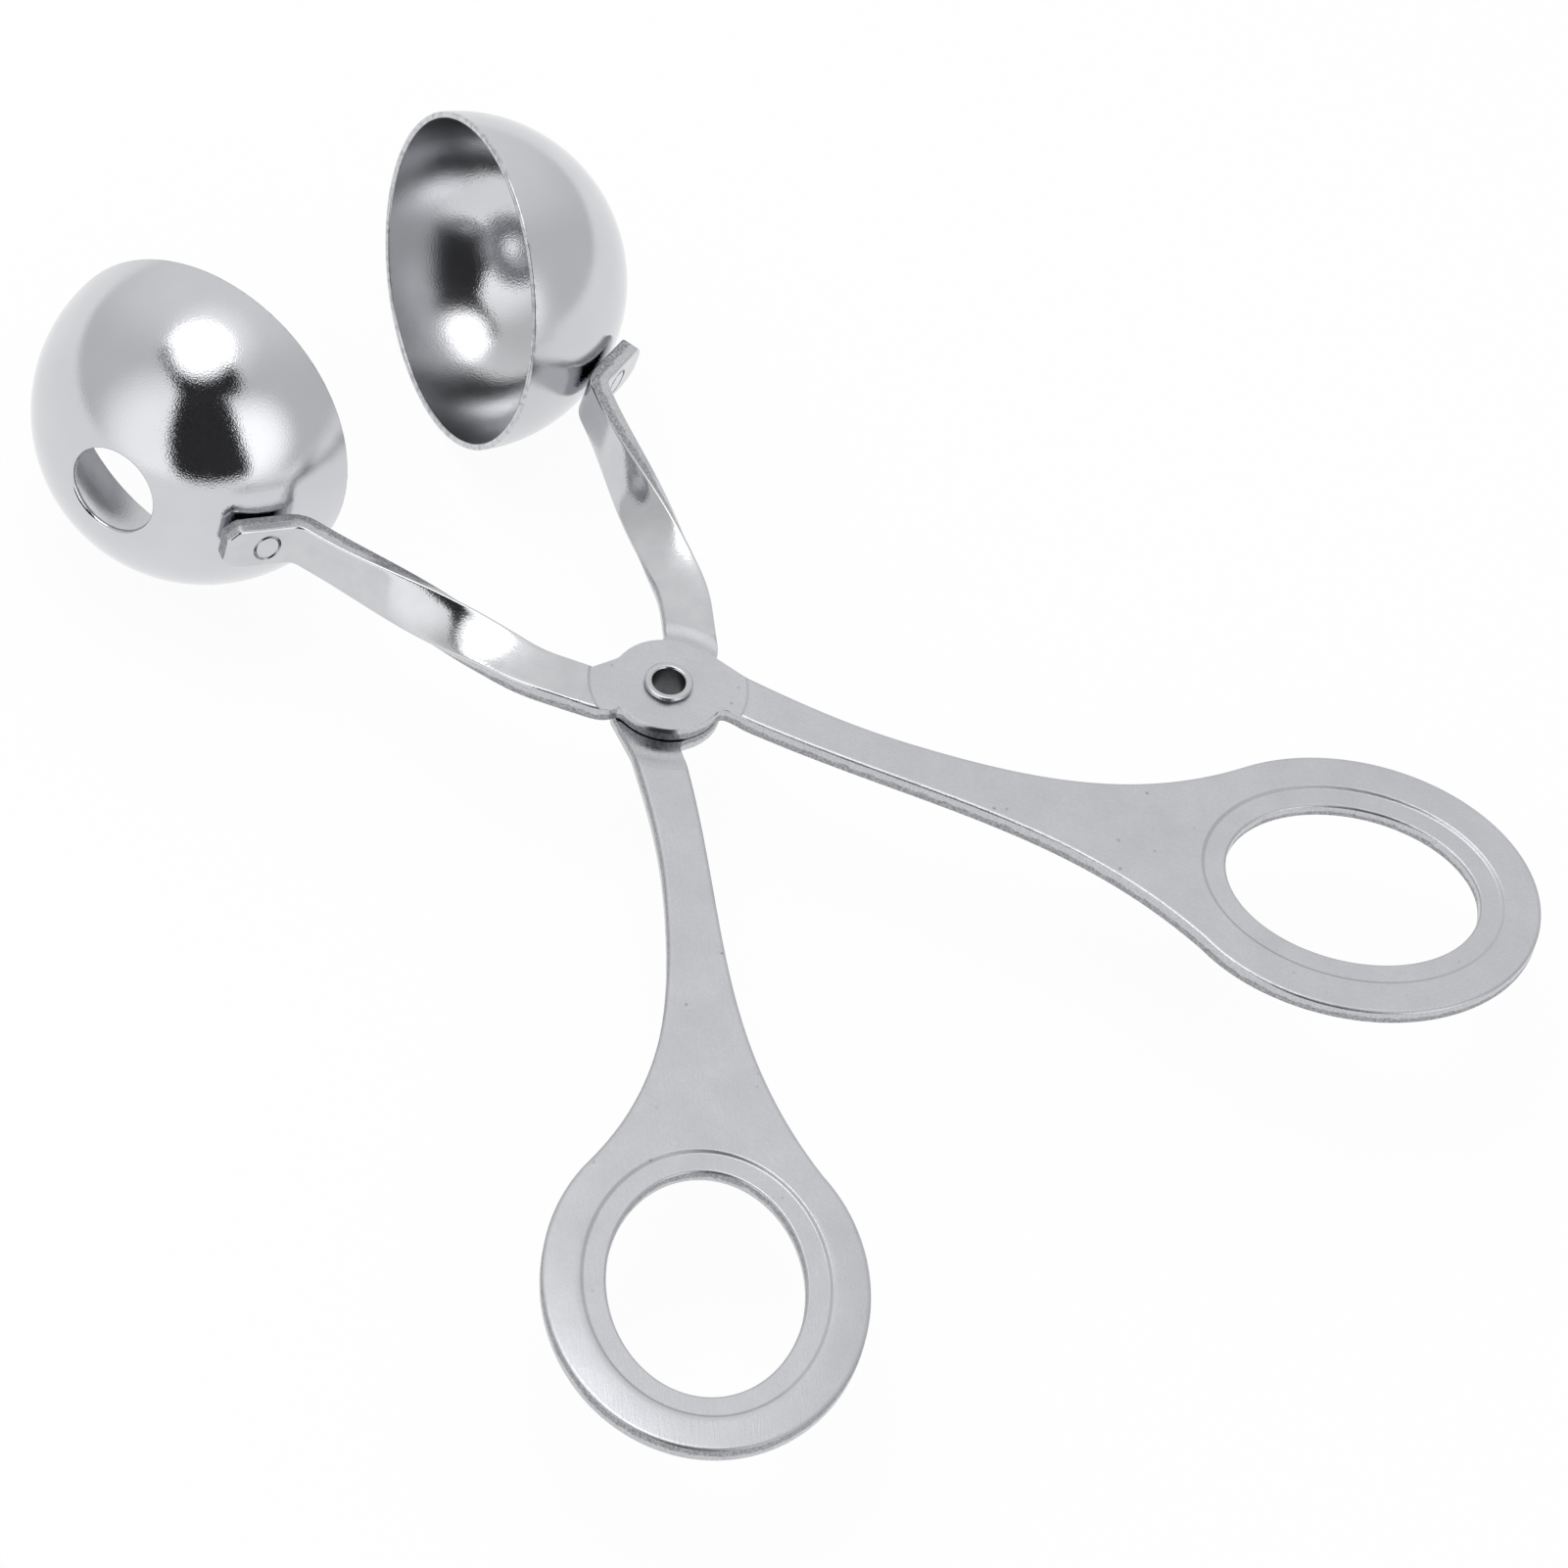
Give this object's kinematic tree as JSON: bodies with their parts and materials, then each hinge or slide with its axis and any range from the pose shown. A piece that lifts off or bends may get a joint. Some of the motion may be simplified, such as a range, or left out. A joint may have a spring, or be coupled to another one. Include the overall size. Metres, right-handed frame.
{
  "type": "meatball scoop",
  "caption": "Steel scissor-action meatball scoop: stamped arms cross on a hollow rivet, with half-ball bowls in front, a vent hole near the pole of a bowl, and oval finger rings behind.",
  "frame": {"origin": "middle of the box round the part-open tool; the rivet's axis is 2.2 mm ahead of it, towards the bowls", "axes": "+Z along the rivet's axis, out of the upper arm's face; +Y from the finger rings towards the bowls, on the line that halves the opening angle"},
  "size_m": [0.1394, 0.173, 0.0416],
  "materials": {
    "satin_steel": "satin, tumbled sheet steel with a brighter sheared edge",
    "polished_steel": "polished stainless steel, mirror-like inside and out",
    "polished_eyelet": "polished, rolled over at the collar"
  },
  "bodies": {
    "lower_arm": {"lower_arm": "satin_steel", "plain_bowl": "polished_steel", "pivot_eyelet": "polished_eyelet"},
    "upper_arm": {"upper_arm": "satin_steel", "vented_bowl": "polished_steel"}
  },
  "joints": [
    {"name": "pivot", "type": "hinge", "parent": "lower_arm", "child": "upper_arm", "pos_m": [0, 0.0022, 0], "axis": [0, 0, 1], "range_deg": [-33.5, 37.5]}
  ]
}
